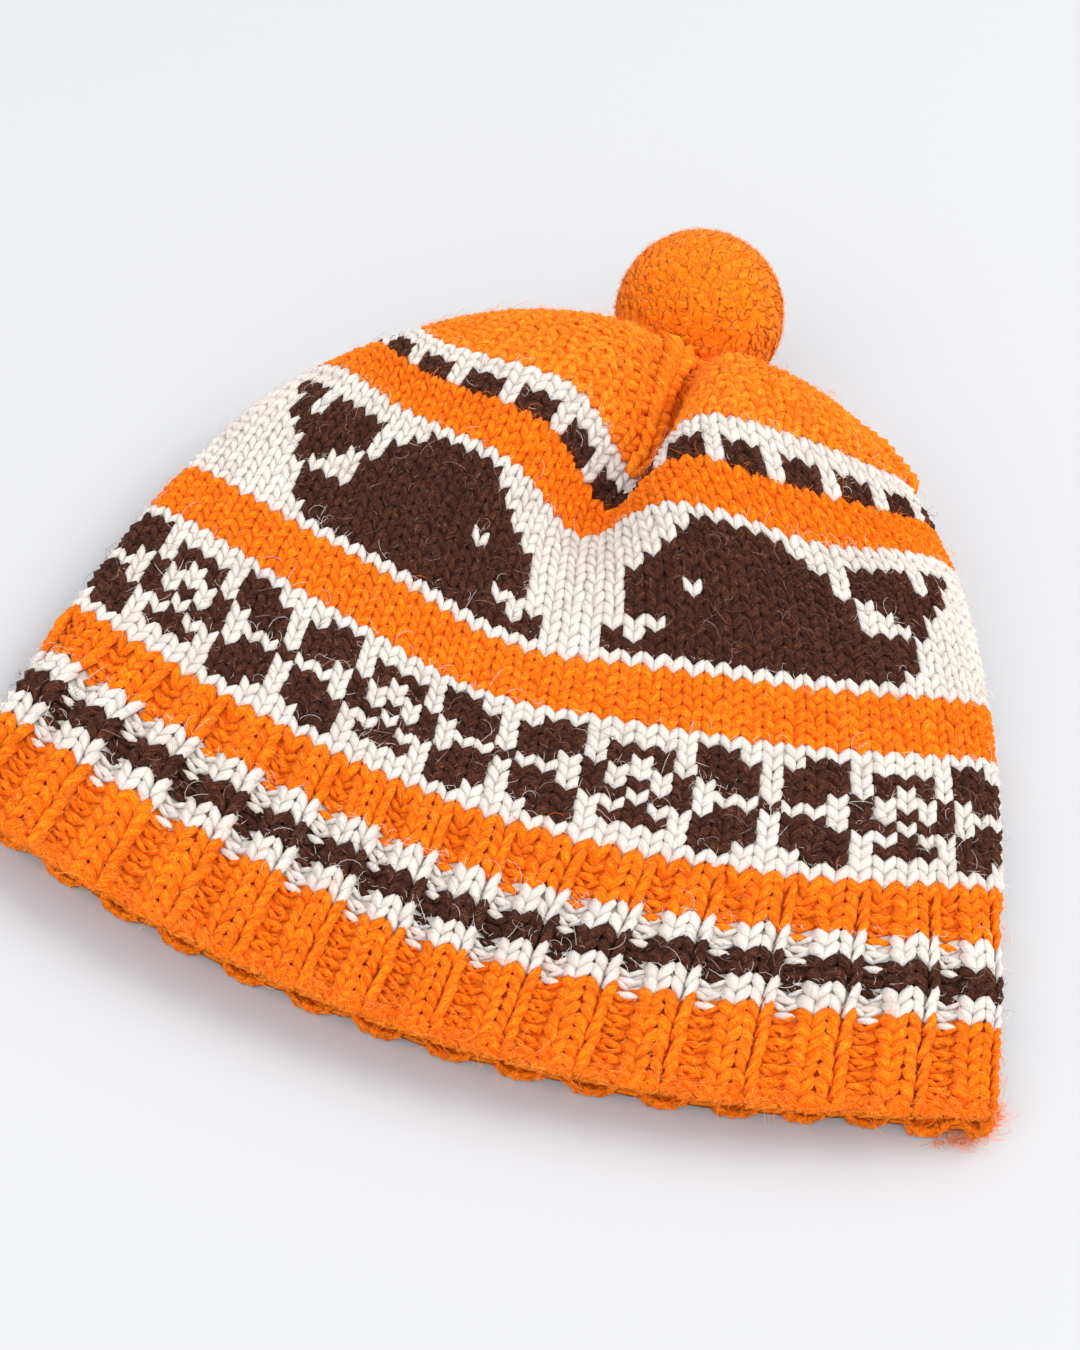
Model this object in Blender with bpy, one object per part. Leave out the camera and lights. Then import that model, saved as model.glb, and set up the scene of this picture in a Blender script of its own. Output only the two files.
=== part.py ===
"""Knit cap lying on its side: ribbed brim, two patterned bands, gathered crown and pompom.

The cap lies flat on its side with the hem toward -Y and the crown toward +Y, +Z up. The fabric is
one tube worked from the hem; each node is the length of tube between two knitting rows. Origin:
middle of the box's underside.
"""
import math
from typing import NamedTuple

import bmesh
import bpy
import numpy as np
from mathutils import Vector

# Lengths in this file are millimetres, turned into metres when a mesh is made
MM = 0.001

# Fabric
WALL = 4.0                 # stranded two-colour knitting in thick wool
SEAM_GAP = 0.4             # between neighbouring lengths of the tube
STITCHES = 96              # stitches round the tube
ROW_HEIGHT = 3.5           # one knitting row
HALF_GAP = 0.5 * SEAM_GAP / ROW_HEIGHT   # in rows
TOP_STRETCH = 0.03         # stitches on the upper layer are this much wider than the mean
PRESSED = 1.2              # depth of fabric pressed flat where the cap rests
UNDERSIDE_SHAPE = 0.6      # the underside is this flat or flatter; 1 would be elliptic
GATHER_SPREAD = 0.25       # half height of the side gathers, as a share of the section's height

# Knitting rows counted from the hem, where the fabric changes
BRIM_TOP = 17
FLOWERS_TOP = 33
WHALES_TOP = 50
CROWN_TOP = 76

# Ribs of the brim: two knit columns stand proud, one purl column lies back
STITCHES_PER_RIB = 3
RIB_DEPTH = 2.2
RIB_END_ROW = 16.0         # the ribs have flattened out here, just under the flower band
RIB_FADE_ROWS = 2.0
SCALLOP = 1.6              # how far each purl column's foot draws back from the hem
SCALLOP_ROWS = 4.0

# Mesh density: one column of faces for each stitch
OUTLINE_POINTS = 360
BAND_RINGS = 4
CROWN_RINGS = 8
END_STEP = 1.0             # rows from the end of a length of tube to its next ring
NORMAL_STEP = 0.3          # rows to both sides over which the fabric's slope is taken

# Pompom
POMPOM_RADIUS = 23.5
POMPOM_LOCKS = 70
LOCK_RELIEF = 1.8          # height of a tuft of cut yarn over the gaps between tufts
LOCK_SPREAD = 0.26         # half width of a tuft, in radians seen from the centre
POMPOM_SEAT = 0.35         # clearance between the pompom and the crown
SEAT_PROBES_PER_ROW = 4


class Section(NamedTuple):
    """Shape of the fabric tube at one knitting row."""

    row: float             # knitting row counted from the hem
    along: float           # distance from the hem to the section's middle
    half_width: float
    crest: float           # height of the upper layer
    underside: float       # height of the lower layer
    valley: float          # depth of the crease between the two lobes
    valley_width: float
    valley_at: float       # sideways place of the crease
    bow: float             # how far the two side folds lie back toward the crown
    column_at: float       # sideways place of the middle stitch column
    shift: float           # sideways place of the whole section
    end_shape: float       # under 1 blunt side folds, over 1 pointed ones
    top_shape: float       # under 1 a flat top, 1 an elliptic one
    belly: float           # height of the widest line, as a share of the section's height
    tuck: float            # depth of the gathers that run up both side folds
    tilt: float            # how much higher the right lobe stands than the left


SECTIONS = (
    #     row  along  half   crest under valley v.wid v.at  bow   col   shift end   top   belly tuck tilt
    Section(0, 0.0, 119.0, 16.0, 0.0, 0.0, 30.0, 0.0, 27.0, 4.0, 0.0, 0.80, 0.35, 0.50, 0.0, 0.00),
    Section(17, 60.0, 113.5, 20.0, 0.0, 0.5, 30.0, 0.0, 29.0, 5.0, 0.0, 0.85, 0.40, 0.50, 0.0, 0.00),
    Section(33, 112.5, 105.0, 28.0, 0.0, 3.0, 26.0, -6.0, 32.0, 1.0, -1.0, 1.00, 0.55, 0.45, 0.0, 0.03),
    Section(46, 157.0, 92.0, 43.0, 0.0, 16.0, 18.0, -11.0, 28.0, -4.0, -2.0, 1.12, 0.90, 0.42, 1.0, 0.08),
    Section(54, 182.0, 79.0, 53.0, 0.5, 20.0, 16.0, -6.0, 20.0, -3.0, -2.5, 1.12, 1.00, 0.42, 3.0, 0.10),
    Section(62, 206.0, 61.0, 54.0, 2.0, 20.0, 13.0, 1.0, 10.0, 0.0, -1.5, 1.05, 1.00, 0.42, 5.0, 0.07),
    Section(70, 224.0, 36.0, 42.0, 7.0, 9.0, 9.0, 3.0, 2.0, 2.0, 1.0, 1.00, 1.00, 0.50, 4.0, 0.00),
    Section(76, 234.0, 4.0, 32.0, 24.0, 0.0, 6.0, 0.0, 0.0, 0.0, 5.0, 1.00, 1.00, 0.50, 0.0, 0.00),
)


def smooth_column(name, row):
    """Value of one table column at any row, on a smooth curve through the table's rows."""
    rows = np.array([section.row for section in SECTIONS], dtype=float)
    values = np.array([getattr(section, name) for section in SECTIONS], dtype=float)
    spans = np.diff(rows)
    rises = np.diff(values) / spans
    slopes = np.empty_like(values)
    slopes[0] = rises[0]
    slopes[-1] = rises[-1]
    slopes[1:-1] = (rises[:-1] * spans[1:] + rises[1:] * spans[:-1]) / (spans[1:] + spans[:-1])
    k = min(max(int(np.searchsorted(rows, row, side="right")) - 1, 0), len(spans) - 1)
    t = (row - rows[k]) / spans[k]
    start = (2 * t**3 - 3 * t**2 + 1) * values[k] + (t**3 - 2 * t**2 + t) * spans[k] * slopes[k]
    end = (3 * t**2 - 2 * t**3) * values[k + 1] + (t**3 - t**2) * spans[k] * slopes[k + 1]
    return float(start + end)


def section_at(row):
    """The tube's section at any knitting row."""
    return Section(*(smooth_column(name, row) for name in Section._fields))


def outline(section):
    """Closed outline of a section, from the top's middle round by the right side."""
    angle = np.linspace(0.5 * math.pi, -1.5 * math.pi, OUTLINE_POINTS + 1)
    across = np.cos(angle)
    upward = np.sin(angle)
    height = section.crest - section.underside
    middle = section.underside + height * section.belly
    ends = np.sign(across) * np.abs(across) ** section.end_shape
    top = (section.crest - middle) * np.abs(upward) ** section.top_shape
    base = (middle - section.underside) * np.abs(upward) ** min(section.top_shape, UNDERSIDE_SHAPE)
    x = section.half_width * ends
    z = middle + np.where(upward >= 0.0, top, -base)
    crease = np.exp(-(((x - section.valley_at) / section.valley_width) ** 2))
    z = z - section.valley * crease * np.sqrt(np.clip(upward, 0.0, 1.0))
    z = z * (1.0 + section.tilt * x / section.half_width)
    gather = np.exp(-(((z - middle) / (GATHER_SPREAD * height)) ** 2))
    x = x - section.tuck * gather * across
    y = section.along + section.bow * (x / section.half_width) ** 2
    z = np.maximum(z - PRESSED, 0.0)
    return np.stack([x + section.shift, y, z], axis=1)


def ring(row):
    """Points of the fabric's outer face at a row, one a stitch, from the top's middle."""
    section = section_at(row)
    points = outline(section)
    steps = np.linalg.norm(np.diff(points, axis=0), axis=1)
    walked = np.concatenate([[0.0], np.cumsum(steps)])
    quarter = OUTLINE_POINTS // 4
    top_x = np.concatenate([points[-1 - quarter:-1, 0], points[:quarter, 0]])
    top_walk = np.concatenate([walked[-1 - quarter:-1] - walked[-1], walked[:quarter]])
    start = np.interp(section.column_at + section.shift, top_x, top_walk)
    turn = np.arange(STITCHES) / STITCHES
    share = turn + TOP_STRETCH * np.sin(2 * math.pi * turn) / (2 * math.pi)
    place = (start + share * walked[-1]) % walked[-1]
    return np.stack([np.interp(place, walked, points[:, axis]) for axis in range(3)], axis=1)


def outward(row):
    """Unit normals of the fabric at a row, pointing out, one a stitch."""
    here = ring(row)
    around = np.roll(here, -1, axis=0) - np.roll(here, 1, axis=0)
    along = ring(min(row + NORMAL_STEP, CROWN_TOP)) - ring(max(row - NORMAL_STEP, 0.0))
    normals = np.cross(around, along)
    return normals / np.linalg.norm(normals, axis=1, keepdims=True)


def rib_wave():
    """0 on the two knit columns of each rib and 1 on its purl column, round the tube."""
    return (np.arange(STITCHES) % STITCHES_PER_RIB == 0).astype(float)[:, None]


def plain_wall(row):
    """The fabric's outer ring at a row, and the inner one a wall's thickness inside it."""
    outer = ring(row)
    return outer, outer - outward(row) * WALL


def ribbed_wall(row):
    """Outer and inner ring of the brim: its purl columns lie back, and draw back from the hem."""
    fade = min(1.0, max(0.0, (RIB_END_ROW - row) / RIB_FADE_ROWS))
    foot = SCALLOP / ROW_HEIGHT * max(0.0, 1.0 - row / SCALLOP_ROWS)
    wave = rib_wave()
    fabric = ring(row) * (1.0 - wave) + ring(row + foot) * wave
    normals = outward(row)
    return fabric - normals * RIB_DEPTH * fade * wave, fabric - normals * WALL


def new_collection(name):
    """A collection linked to the scene."""
    collection = bpy.data.collections.new(name)
    bpy.context.scene.collection.children.link(collection)
    return collection


def new_material(name, colour, roughness):
    """A wool finish for one node."""
    material = bpy.data.materials.new(name)
    material.use_nodes = True
    shader = material.node_tree.nodes["Principled BSDF"]
    shader.inputs["Base Color"].default_value = (*colour, 1.0)
    shader.inputs["Roughness"].default_value = roughness
    shader.inputs["Metallic"].default_value = 0.0
    material.diffuse_color = (*colour, 1.0)
    return material


def new_object(name, mesh, material, collection):
    """An object with one material, shaded smooth, in a collection."""
    item = bpy.data.objects.new(name, mesh)
    mesh.materials.append(material)
    mesh.shade_smooth()
    collection.objects.link(item)
    return item


def skin(builder, rings, closed_top):
    """Faces of one skin through its rings; its first and last rings of vertices are returned."""
    loops = [[builder.verts.new(Vector(point) * MM) for point in points] for points in rings]
    for lower, upper in zip(loops[:-1], loops[1:]):
        for k, corner in enumerate(lower):
            builder.faces.new((lower[k - 1], corner, upper[k], upper[k - 1]))
    if closed_top:
        pole = builder.verts.new(Vector(np.mean(rings[-1], axis=0)) * MM)
        for k, corner in enumerate(loops[-1]):
            builder.faces.new((loops[-1][k - 1], corner, pole))
    return loops[0], loops[-1]


def knitted_wall(name, rows, wall, material, collection, closed_top=False):
    """A length of the fabric tube: two skins joined by the edge at each open end."""
    builder = bmesh.new()
    ends = [skin(builder, rings, closed_top) for rings in zip(*(wall(row) for row in rows))]
    open_ends = 1 if closed_top else 2
    for outer_loop, inner_loop in list(zip(*ends))[:open_ends]:
        for k, corner in enumerate(outer_loop):
            builder.faces.new((outer_loop[k - 1], corner, inner_loop[k], inner_loop[k - 1]))
    bmesh.ops.recalc_face_normals(builder, faces=builder.faces)
    mesh = bpy.data.meshes.new(name)
    builder.to_mesh(mesh)
    builder.free()
    return new_object(name, mesh, material, collection)


def ribbed_brim(material, collection):
    """The ribbed border, open at the hem."""
    rows = [0.0, 3.0, 7.0, RIB_END_ROW - RIB_FADE_ROWS, RIB_END_ROW, BRIM_TOP - HALF_GAP]
    return knitted_wall("ribbed_brim", rows, ribbed_wall, material, collection)


def plain_band(name, first, last, material, collection):
    """A length of plain knitting, with a short row of faces at both ends."""
    middle = np.linspace(first + END_STEP, last - END_STEP, BAND_RINGS)
    rows = [first + HALF_GAP, *middle, last - HALF_GAP]
    return knitted_wall(name, rows, plain_wall, material, collection)


def crown(material, collection):
    """The gathered top, closed where the last round is drawn up."""
    middle = np.linspace(WHALES_TOP + END_STEP, CROWN_TOP, CROWN_RINGS)
    rows = [WHALES_TOP + HALF_GAP, *middle]
    return knitted_wall("crown", rows, plain_wall, material, collection, closed_top=True)


def lock_directions():
    """Directions of the pompom's tufts, spread evenly over a ball."""
    golden = math.pi * (3.0 - math.sqrt(5.0))
    directions = []
    for k in range(POMPOM_LOCKS):
        height = 1.0 - 2.0 * (k + 0.5) / POMPOM_LOCKS
        radius = math.sqrt(1.0 - height * height)
        directions.append(Vector((radius * math.cos(k * golden), radius * math.sin(k * golden), height)))
    return directions


def pompom_centre():
    """Where the pompom's middle lies when it is pushed straight onto the crown's middle."""
    middle = ring(CROWN_TOP).mean(axis=0)
    reach = POMPOM_RADIUS + POMPOM_SEAT
    rows = np.linspace(WHALES_TOP, CROWN_TOP, SEAT_PROBES_PER_ROW * (CROWN_TOP - WHALES_TOP))
    fabric = np.concatenate([ring(row) for row in rows])
    aside_squared = (fabric[:, 0] - middle[0]) ** 2 + (fabric[:, 2] - middle[2]) ** 2
    under = aside_squared < reach**2
    rests = fabric[under, 1] + np.sqrt(reach**2 - aside_squared[under])
    return Vector((middle[0], rests.max(), middle[2]))


def pompom(material, collection):
    """A ball of cut yarn: a round core with its tufts raised from it, seated on the crown."""
    centre = pompom_centre()
    bpy.ops.mesh.primitive_ico_sphere_add(subdivisions=4, radius=POMPOM_RADIUS * MM)
    item = bpy.context.object
    item.name = "pompom"
    item.data.name = "pompom"
    directions = lock_directions()
    builder = bmesh.new()
    builder.from_mesh(item.data)
    for vertex in builder.verts:
        way = vertex.co.normalized()
        nearest = min(way.angle(direction) for direction in directions)
        relief = max(0.0, 1.0 - (nearest / LOCK_SPREAD) ** 2)
        vertex.co = way * (POMPOM_RADIUS - LOCK_RELIEF * (1.0 - relief)) * MM
    builder.to_mesh(item.data)
    builder.free()
    item.data.materials.append(material)
    item.data.shade_smooth()
    item.location = centre * MM
    for holder in list(item.users_collection):
        holder.objects.unlink(item)
    collection.objects.link(item)
    return item


def stand_on_origin(items):
    """Moves all pieces alike, so that the origin is the middle of the box's underside."""
    bpy.context.view_layer.update()
    lowest = Vector((math.inf, math.inf, math.inf))
    highest = -lowest
    graph = bpy.context.evaluated_depsgraph_get()
    for item in items:
        shown = item.evaluated_get(graph)
        for vertex in shown.data.vertices:
            place = shown.matrix_world @ vertex.co
            lowest = Vector(map(min, lowest, place))
            highest = Vector(map(max, highest, place))
    middle = 0.5 * (lowest + highest)
    for item in items:
        item.location -= Vector((middle.x, middle.y, lowest.z))


def build():
    """Builds the cap."""
    for item in list(bpy.data.objects):
        bpy.data.objects.remove(item, do_unlink=True)
    cap = new_collection("knit_cap")
    orange = new_material("orange_wool", (0.90, 0.19, 0.01), 0.85)
    patterned = new_material("patterned_wool", (0.62, 0.50, 0.42), 0.88)
    brown = new_material("brown_wool", (0.10, 0.05, 0.035), 0.88)
    crown_wool = new_material("crown_wool", (0.85, 0.17, 0.01), 0.85)
    tufts = new_material("pompom_wool", (0.92, 0.22, 0.02), 0.9)
    items = [
        ribbed_brim(orange, cap),
        plain_band("flower_band", BRIM_TOP, FLOWERS_TOP, patterned, cap),
        plain_band("whale_band", FLOWERS_TOP, WHALES_TOP, brown, cap),
        crown(crown_wool, cap),
        pompom(tufts, cap),
    ]
    stand_on_origin(items)


build()
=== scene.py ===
"""Knit cap lying on its side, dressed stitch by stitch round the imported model.

The cap lies with its hem toward -Y and its crown toward +Y. Every stitch, purl bump, fibre and yarn
tuft is placed in fabric coordinates: a column round the tube, a knitting row counted from the hem,
and a height over the fabric's outer face. Lengths are millimetres until a mesh is made.
"""

import logging
import math
from dataclasses import dataclass, field, replace
from enum import Enum
from typing import NamedTuple

import bmesh
import bpy
import numpy as np
from mathutils import Matrix, Vector


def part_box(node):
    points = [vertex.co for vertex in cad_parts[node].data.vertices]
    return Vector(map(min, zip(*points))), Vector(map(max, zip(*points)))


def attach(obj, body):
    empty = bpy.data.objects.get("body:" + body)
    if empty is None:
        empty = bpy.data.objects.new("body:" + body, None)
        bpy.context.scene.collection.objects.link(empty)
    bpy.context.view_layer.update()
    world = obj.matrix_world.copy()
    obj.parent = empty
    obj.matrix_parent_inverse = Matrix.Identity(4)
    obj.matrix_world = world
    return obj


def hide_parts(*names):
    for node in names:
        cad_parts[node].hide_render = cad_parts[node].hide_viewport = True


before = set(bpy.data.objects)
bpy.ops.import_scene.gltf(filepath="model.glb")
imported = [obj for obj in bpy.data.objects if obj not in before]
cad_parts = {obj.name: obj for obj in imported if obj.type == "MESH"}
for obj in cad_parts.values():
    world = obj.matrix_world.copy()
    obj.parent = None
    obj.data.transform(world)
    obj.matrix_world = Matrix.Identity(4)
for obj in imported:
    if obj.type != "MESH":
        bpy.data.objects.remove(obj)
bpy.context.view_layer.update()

log = logging.getLogger("knit_cap")

MM = 0.001
COLUMNS = 96               # stitches round the tube
FLOOR_CLEARANCE = 0.05     # the lower layer's stitches are pressed flat this far over the floor
Colour = tuple[float, float, float]


class Yarn(Enum):
    """The three wools that the cap is knitted from, numbered as a piece's material slots."""

    ORANGE = 0
    WHITE = 1
    BROWN = 2


class Section(NamedTuple):
    """Shape of the fabric tube at one knitting row, as the part's source gives it."""

    row: float
    along: float
    half_width: float
    crest: float
    underside: float
    bow: float
    column_at: float
    shift: float
    end_shape: float
    top_shape: float
    belly: float
    tuck: float
    tilt: float


SECTIONS = (
    #     row  along  half   crest under bow   col   shift end   top   belly tuck tilt
    Section(0, 0.0, 119.0, 16.0, 0.0, 27.0, 4.0, 0.0, 0.80, 0.35, 0.50, 0.0, 0.00),
    Section(17, 60.0, 113.5, 20.0, 0.0, 29.0, 5.0, 0.0, 0.85, 0.40, 0.50, 0.0, 0.00),
    Section(33, 112.5, 105.0, 28.0, 0.0, 32.0, 1.0, -1.0, 1.00, 0.55, 0.45, 0.0, 0.03),
    Section(46, 157.0, 92.0, 43.0, 0.0, 28.0, -4.0, -2.0, 1.12, 0.90, 0.42, 1.0, 0.08),
    Section(54, 182.0, 79.0, 53.0, 0.5, 20.0, -3.0, -2.5, 1.12, 1.00, 0.42, 3.0, 0.10),
    Section(62, 206.0, 61.0, 54.0, 2.0, 10.0, 0.0, -1.5, 1.05, 1.00, 0.42, 5.0, 0.07),
    Section(70, 224.0, 36.0, 42.0, 7.0, 2.0, 2.0, 1.0, 1.00, 1.00, 0.50, 4.0, 0.00),
    Section(76, 234.0, 4.0, 32.0, 24.0, 0.0, 0.0, 5.0, 1.00, 1.00, 0.50, 0.0, 0.00),
)


class Crease(NamedTuple):
    """The fold between the crown's two lobes at one knitting row, steeper on its right side."""

    row: float
    at: float
    depth: float
    left_width: float
    right_width: float
    lean: float


CREASES = (
    #      row   at  depth left  right lean
    Crease(0, 0.0, 0.0, 30.0, 30.0, 0.0),
    Crease(17, 0.0, 0.5, 30.0, 30.0, 0.0),
    Crease(30, -6.0, 3.0, 26.0, 26.0, 0.0),
    Crease(40, -6.0, 11.0, 20.0, 18.0, 0.0),
    Crease(46, -3.0, 20.0, 16.0, 13.0, 2.0),
    Crease(50, 3.0, 25.0, 16.0, 10.0, 4.0),
    Crease(54, 9.0, 28.0, 17.0, 7.0, 5.0),
    Crease(58, 11.0, 27.0, 17.0, 6.0, 5.0),
    Crease(62, 10.5, 24.0, 15.0, 6.0, 4.0),
    Crease(68, 8.0, 13.0, 10.0, 6.0, 2.0),
    Crease(76, 3.0, 0.0, 6.0, 6.0, 0.0),
)


class Drift(NamedTuple):
    """How many columns the knitting lies aside of an even spread, at one column."""

    column: float
    in_brim: float
    in_bands: float


DRIFTS = (
    Drift(-44, 0.0, 0.0), Drift(-34, 0.0, 1.0), Drift(-24, -0.3, 1.5), Drift(-20, 0.2, 1.5),
    Drift(-16, 0.8, 1.5), Drift(-12, 1.1, 1.3), Drift(-8, 0.85, 0.9), Drift(-4, 0.35, 0.3),
    Drift(0, -0.1, 0.05), Drift(4, -0.35, 0.25), Drift(8, -0.1, 0.1), Drift(12, 0.2, 0.2),
    Drift(16, 0.9, 0.7), Drift(20, 1.5, 0.6), Drift(24, 1.0, 0.3), Drift(32, 0.0, 0.0),
)


class Dip(NamedTuple):
    """A place where the rows sag toward the hem, or rise where the depth is negative."""

    column: float
    row: float
    columns_wide: float
    rows_wide: float
    depth: float


DIPS = (
    Dip(-1.0, 9.0, 6.0, 5.0, 0.9),
    Dip(21.0, 9.0, 2.5, 4.0, 0.9),
    Dip(-4.5, 29.0, 4.5, 7.0, 1.0),
    Dip(-20.0, 27.0, 6.0, 6.0, -0.5),
    Dip(14.0, 46.5, 4.0, 6.0, 1.3),
    Dip(20.0, 51.0, 3.5, 4.0, 1.0),
    Dip(-22.0, 52.0, 6.0, 8.0, -6.0),
)


TWIST = ((56.0, 0.0), (63.0, -1.4), (70.5, -3.2), (76.0, -5.5))      # row, columns that it turns
LEAN = ((-14.0, 0.0), (-8.0, 0.25), (-3.0, 0.6), (0.0, 1.0), (22.0, 0.9), (34.0, 0.0))  # column, share


def centred(column: np.ndarray) -> np.ndarray:
    """Columns counted from the top's middle, below zero on its left."""
    return (column + 0.5 * COLUMNS) % COLUMNS - 0.5 * COLUMNS


def unit(vectors: np.ndarray) -> np.ndarray:
    """The vectors at length 1."""
    return vectors / np.linalg.norm(vectors, axis=-1, keepdims=True)


def linked(name: str, data: bpy.types.ID) -> bpy.types.Object:
    """A new object in the scene."""
    item = bpy.data.objects.new(name, data)
    bpy.context.scene.collection.objects.link(item)
    return item


def curve_value(table: tuple, name: str, row: float) -> float:
    """Value of one table column at any row, on a smooth curve through the table's rows.

    Args:
        table: The table, whose entries have a row.
        name: The column.
        row: The knitting row.

    Returns:
        The value there.
    """
    rows = np.array([entry.row for entry in table], dtype=float)
    values = np.array([getattr(entry, name) for entry in table], dtype=float)
    spans = np.diff(rows)
    rises = np.diff(values) / spans
    slopes = np.empty_like(values)
    slopes[0] = rises[0]
    slopes[-1] = rises[-1]
    slopes[1:-1] = (rises[:-1] * spans[1:] + rises[1:] * spans[:-1]) / (spans[1:] + spans[:-1])
    k = min(max(int(np.searchsorted(rows, row, side="right")) - 1, 0), len(spans) - 1)
    t = (row - rows[k]) / spans[k]
    start = (2 * t**3 - 3 * t**2 + 1) * values[k] + (t**3 - 2 * t**2 + t) * spans[k] * slopes[k]
    end = (3 * t**2 - 2 * t**3) * values[k + 1] + (t**3 - t**2) * spans[k] * slopes[k + 1]
    return float(start + end)


@dataclass
class FabricSurface:
    """The fabric's outer face, and the way from fabric coordinates to places in the part's frame."""

    pressed: float = 1.2
    underside_shape: float = 0.6
    gather_spread: float = 0.25
    top_stretch: float = 0.03
    brim_drift_to: float = 10.0      # the brim's drift ends here and blends into the bands
    drift_blend: float = 8.0
    drift_end: float = 50.0          # no drift from this row on, and less in the rows before it
    drift_fade: float = 6.0
    crown_lean: float = 0.35         # columns that the crown's knitting leans right by each row
    lean_from: float = 49.0
    lean_rows: float = 7.0
    lip_beyond: float = 1.1          # where the crease's right lip leans over, in crease widths
    lip_width: float = 0.8
    hem_steps: int = 4               # grid rows that give the fabric's way past the hem
    outline_points: int = 720
    columns: int = 192
    row_step: float = 0.25
    top_row: float = 76.0
    brim_low_x: float = -118.52      # lowest x and y of the brim's solid, with the hem's middle at zero
    brim_low_y: float = 0.01
    points: np.ndarray = field(init=False)
    normals: np.ndarray = field(init=False)

    def __post_init__(self) -> None:
        """Lays out the face on a fine grid of rows and columns, in the part's frame."""
        rows = np.arange(0.0, self.top_row + 0.5 * self.row_step, self.row_step)
        rings = np.array([self.ring(row) for row in rows])
        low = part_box("ribbed_brim")[0]
        rings[..., 0] += low[0] / MM - self.brim_low_x
        rings[..., 1] += low[1] / MM - self.brim_low_y
        around = np.roll(rings, -1, axis=1) - np.roll(rings, 1, axis=1)
        along = np.gradient(rings, axis=0)
        normals = np.cross(around, along)
        self.points = rings
        self.normals = unit(normals)

    def outline(self, section: Section, fold: Crease) -> np.ndarray:
        """Closed outline of a section, from the top's middle round by the right side.

        Args:
            section: The section.
            fold: The crease there.

        Returns:
            The outline's points, with the first repeated at the end.
        """
        angle = np.linspace(0.5 * math.pi, -1.5 * math.pi, self.outline_points + 1)
        across = np.cos(angle)
        upward = np.sin(angle)
        height = section.crest - section.underside
        middle = section.underside + height * section.belly
        ends = np.sign(across) * np.abs(across) ** section.end_shape
        top = (section.crest - middle) * np.abs(upward) ** section.top_shape
        lower_shape = min(section.top_shape, self.underside_shape)
        base = (middle - section.underside) * np.abs(upward) ** lower_shape
        x = section.half_width * ends
        z = middle + np.where(upward >= 0.0, top, -base)
        upper = np.sqrt(np.clip(upward, 0.0, 1.0))
        width = np.where(x < fold.at, fold.left_width, fold.right_width)
        z = z - fold.depth * np.exp(-(((x - fold.at) / width) ** 2)) * upper
        z = z * (1.0 + section.tilt * x / section.half_width)
        gather = np.exp(-(((z - middle) / (self.gather_spread * height)) ** 2))
        x = x - section.tuck * gather * across
        y = section.along + section.bow * (x / section.half_width) ** 2
        lip_at = fold.at + self.lip_beyond * fold.right_width
        x = x - fold.lean * upper * np.exp(-(((x - lip_at) / (self.lip_width * fold.right_width)) ** 2))
        return np.stack([x + section.shift, y, np.maximum(z - self.pressed, 0.0)], axis=1)

    def ring(self, row: float) -> np.ndarray:
        """Points of the outer face at a row, evenly round it from the top's middle.

        Args:
            row: The knitting row.

        Returns:
            One point for each grid column.
        """
        section, fold = (kind(*(curve_value(table, name, row) for name in kind._fields))
                         for kind, table in ((Section, SECTIONS), (Crease, CREASES)))
        points = self.outline(section, fold)
        steps = np.linalg.norm(np.diff(points, axis=0), axis=1)
        walked = np.concatenate([[0.0], np.cumsum(steps)])
        quarter = self.outline_points // 4
        top_x = np.concatenate([points[-1 - quarter:-1, 0], points[:quarter, 0]])
        top_walk = np.concatenate([walked[-1 - quarter:-1] - walked[-1], walked[:quarter]])
        start = np.interp(section.column_at + section.shift, top_x, top_walk)
        turn = np.arange(self.columns) / self.columns
        share = turn + self.top_stretch * np.sin(2 * math.pi * turn) / (2 * math.pi)
        place = (start + share * walked[-1]) % walked[-1]
        return np.stack([np.interp(place, walked, points[:, axis]) for axis in range(3)], axis=1)

    def drifted(self, column: np.ndarray, row: np.ndarray) -> tuple[np.ndarray, np.ndarray]:
        """Where the knitting really lies, for even columns and rows.

        Args:
            column: Even columns.
            row: Even rows.

        Returns:
            The columns and the rows after the drift, the sag and the crown's twist.
        """
        middle = centred(column)
        places, in_brim, in_bands = np.array(DRIFTS, dtype=float).T
        brim = np.interp(middle, places, in_brim)
        bands = np.interp(middle, places, in_bands)
        share = np.clip((row - self.brim_drift_to) / self.drift_blend, 0.0, 1.0)
        fade = np.clip((self.drift_end - row) / self.drift_fade, 0.0, 1.0)
        twist = np.interp(row, *np.array(TWIST).T)
        lean = self.crown_lean * np.clip(row - self.lean_from, 0.0, self.lean_rows)
        lean = lean * np.interp(middle, *np.array(LEAN).T)
        moved = column + (brim * (1.0 - share) + bands * share) * fade + twist + lean
        sunk = row
        for dip in DIPS:
            aside = ((middle - dip.column) / dip.columns_wide) ** 2
            sunk = sunk - dip.depth * np.exp(-aside - ((row - dip.row) / dip.rows_wide) ** 2)
        return moved, sunk

    def place(self, column: np.ndarray, row: np.ndarray,
              height: np.ndarray) -> tuple[np.ndarray, np.ndarray]:
        """Places and outward normals for fabric coordinates.

        Args:
            column: Columns round the tube, in stitches, of any size.
            row: Knitting rows; under 0 they run straight on past the hem.
            height: Heights over the outer face, in millimetres.

        Returns:
            The places in millimetres, and the unit normals.
        """
        column, row = self.drifted(column, row)
        along = np.clip(row, 0.0, self.top_row - 1e-6) / self.row_step
        around = (column % COLUMNS) * self.columns / COLUMNS
        i = along.astype(int)
        j = around.astype(int) % self.columns
        next_j = (j + 1) % self.columns
        f = (along - i)[..., None]
        g = (around - np.floor(around))[..., None]

        def blend(grid: np.ndarray) -> np.ndarray:
            """Bilinear value of a grid."""
            near = grid[i, j] * (1 - g) + grid[i, next_j] * g
            far = grid[i + 1, j] * (1 - g) + grid[i + 1, next_j] * g
            return near * (1 - f) + far * f

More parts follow.
